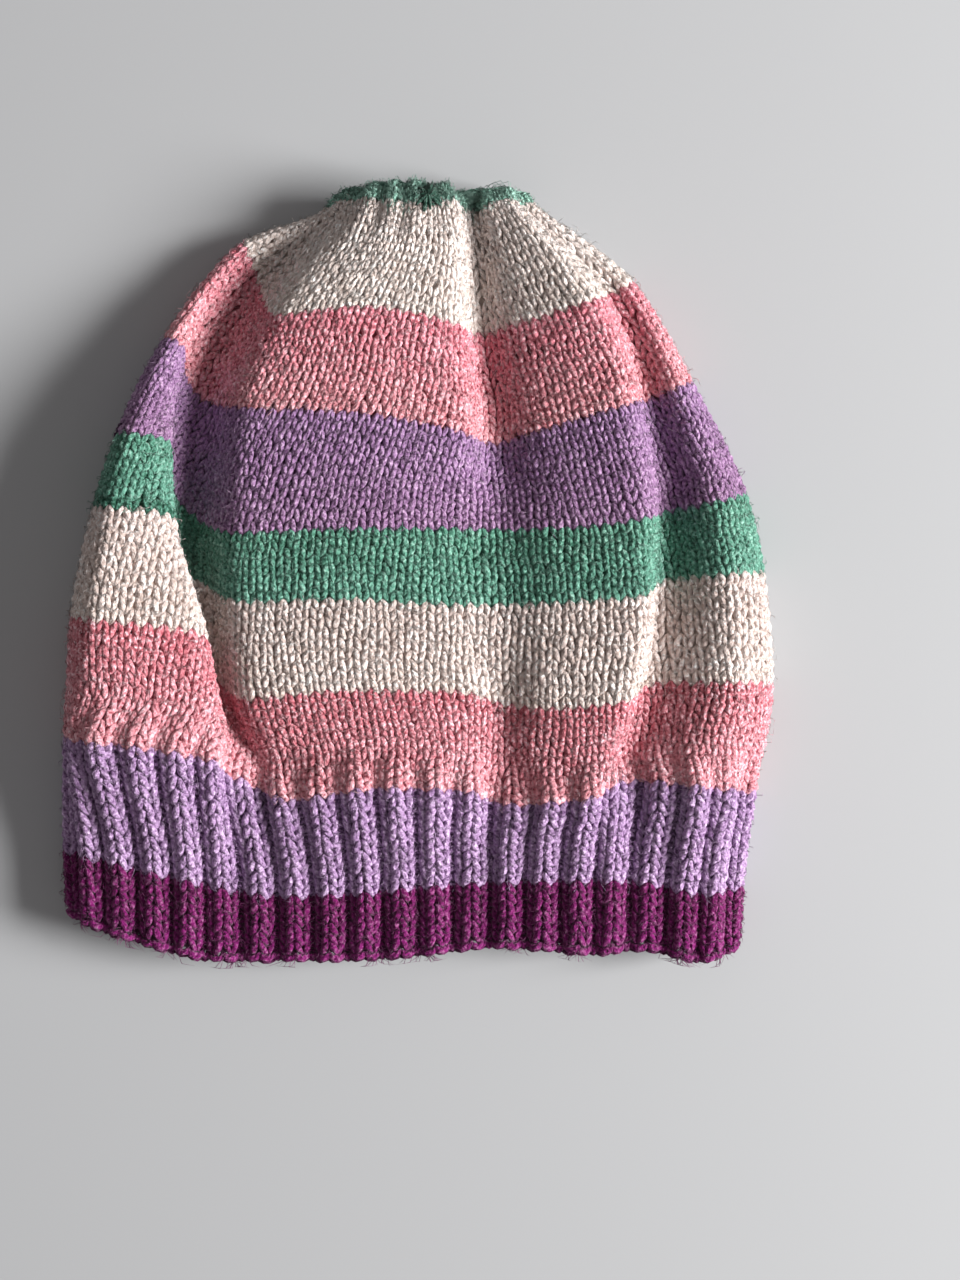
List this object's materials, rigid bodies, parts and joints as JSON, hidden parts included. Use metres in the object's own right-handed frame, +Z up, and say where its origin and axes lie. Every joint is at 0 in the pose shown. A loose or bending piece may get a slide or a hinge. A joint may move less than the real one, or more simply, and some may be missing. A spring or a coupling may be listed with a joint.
{
  "type": "knitted nightcap",
  "caption": "Slouchy knitted nightcap in soft wool stripes, with a ribbed brim and a drawn-up gathered crown, lying flat.",
  "frame": {"origin": "on the surface that the cap lies on, under the middle of the cap's box", "axes": "+Z up, +Y from the brim towards the gathered crown, +X towards the cap's right side as seen from above"},
  "size_m": [0.2328, 0.2498, 0.0316],
  "materials": {
    "magenta_yarn": "soft fuzzy wool, deep magenta",
    "lilac_yarn": "soft fuzzy wool, pale lilac",
    "pink_yarn": "soft fuzzy wool, rose to salmon pink",
    "cream_yarn": "soft fuzzy wool, warm cream",
    "green_yarn": "soft fuzzy wool, sea green",
    "purple_yarn": "soft fuzzy wool, heathered purple"
  },
  "bodies": {
    "root": {"hem_edge": "magenta_yarn", "rib_band": "lilac_yarn", "stripe_pink_low": "pink_yarn", "stripe_cream_low": "cream_yarn", "stripe_green": "green_yarn", "stripe_purple": "purple_yarn", "stripe_pink_high": "pink_yarn", "stripe_cream_high": "cream_yarn", "crown_gather": "green_yarn"}
  },
  "joints": []
}
